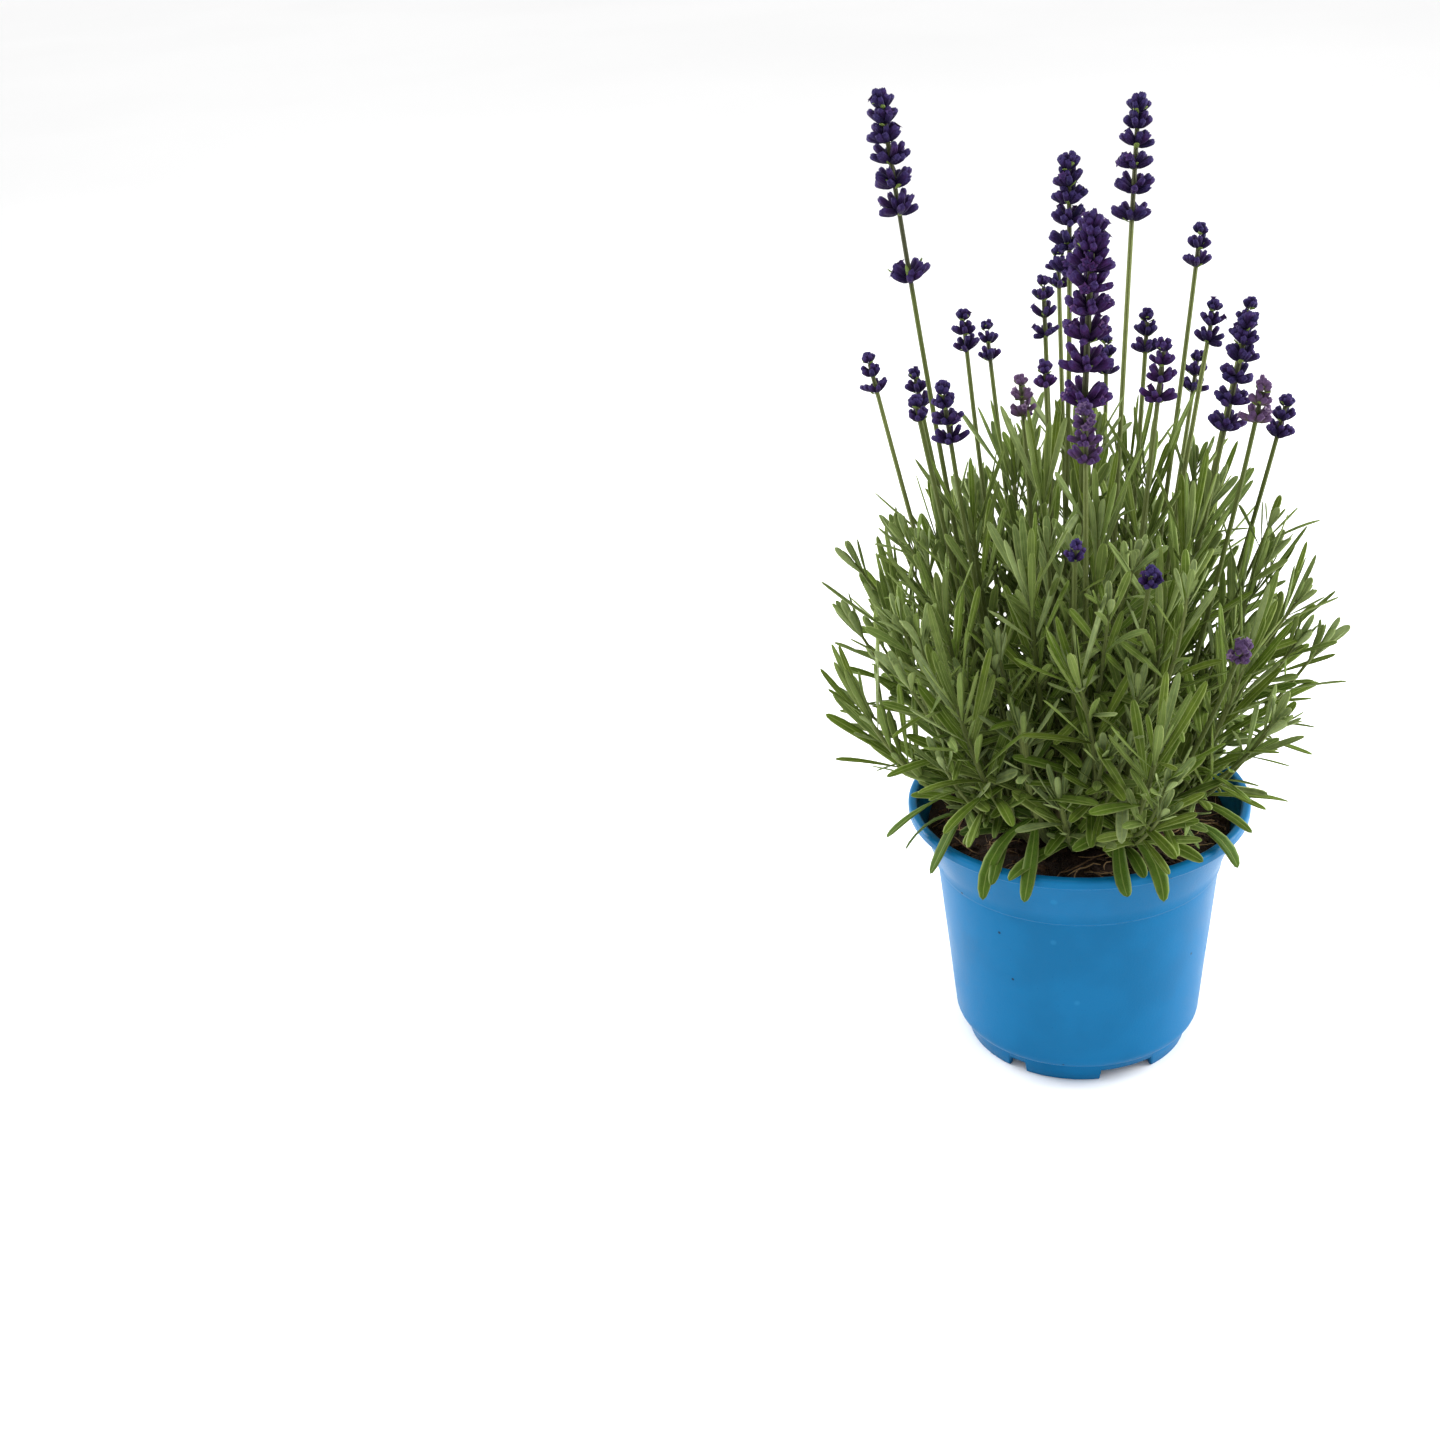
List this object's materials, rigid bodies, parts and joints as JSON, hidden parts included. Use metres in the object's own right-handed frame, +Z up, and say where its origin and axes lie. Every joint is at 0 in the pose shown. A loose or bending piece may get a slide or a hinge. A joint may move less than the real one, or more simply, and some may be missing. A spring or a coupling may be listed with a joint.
{
  "type": "potted lavender",
  "caption": "Flowering lavender in a round plastic nursery pot of soil, with leafy shoots and tall purple flower spikes; stands on the pot's foot.",
  "frame": {"origin": "centre of the object's footprint on the floor it stands on, under the pot's axis to within 2 mm", "axes": "+Z up along the pot's axis; -Y towards the front of the plant; +X to the right seen from the front"},
  "size_m": [0.1867, 0.1867, 0.368],
  "materials": {
    "pot_plastic": "satin azure blue injection-moulded plastic",
    "soil": "moist dark peat with fibres",
    "bark": "rough grey-brown woody stem",
    "leaf": "grey-green, finely felted leaf",
    "flower": "deep violet felted buds on green stalks"
  },
  "bodies": {
    "root": {"pot": "pot_plastic", "potting_soil": "soil", "woody_crown": "bark", "flower_stem_01": "flower", "flower_stem_02": "flower", "flower_stem_03": "flower", "flower_stem_04": "flower", "flower_stem_05": "flower", "flower_stem_06": "flower", "flower_stem_07": "flower", "flower_stem_08": "flower", "flower_stem_09": "flower", "flower_stem_10": "flower", "flower_stem_11": "flower", "flower_stem_12": "flower", "flower_stem_13": "flower", "flower_stem_14": "flower", "flower_stem_15": "flower", "flower_stem_16": "flower", "flower_stem_17": "flower", "flower_stem_18": "flower", "flower_stem_19": "flower", "flower_stem_20": "flower", "flower_stem_21": "flower", "flower_stem_22": "flower", "flower_stem_23": "flower", "flower_stem_24": "flower", "flower_stem_25": "flower", "flower_stem_26": "flower", "flower_stem_27": "flower", "flower_stem_28": "flower", "leafy_shoot_01": "leaf", "leafy_shoot_02": "leaf", "leafy_shoot_03": "leaf", "leafy_shoot_04": "leaf", "leafy_shoot_05": "leaf", "leafy_shoot_06": "leaf", "leafy_shoot_07": "leaf", "leafy_shoot_08": "leaf", "leafy_shoot_09": "leaf", "leafy_shoot_10": "leaf", "leafy_shoot_11": "leaf", "leafy_shoot_12": "leaf", "leafy_shoot_13": "leaf", "leafy_shoot_14": "leaf", "leafy_shoot_15": "leaf", "leafy_shoot_16": "leaf", "leafy_shoot_17": "leaf", "leafy_shoot_18": "leaf", "leafy_shoot_19": "leaf", "leafy_shoot_20": "leaf", "leafy_shoot_21": "leaf", "leafy_shoot_22": "leaf", "leafy_shoot_23": "leaf", "leafy_shoot_24": "leaf", "leafy_shoot_25": "leaf", "leafy_shoot_26": "leaf", "leafy_shoot_27": "leaf", "leafy_shoot_28": "leaf"}
  },
  "joints": []
}
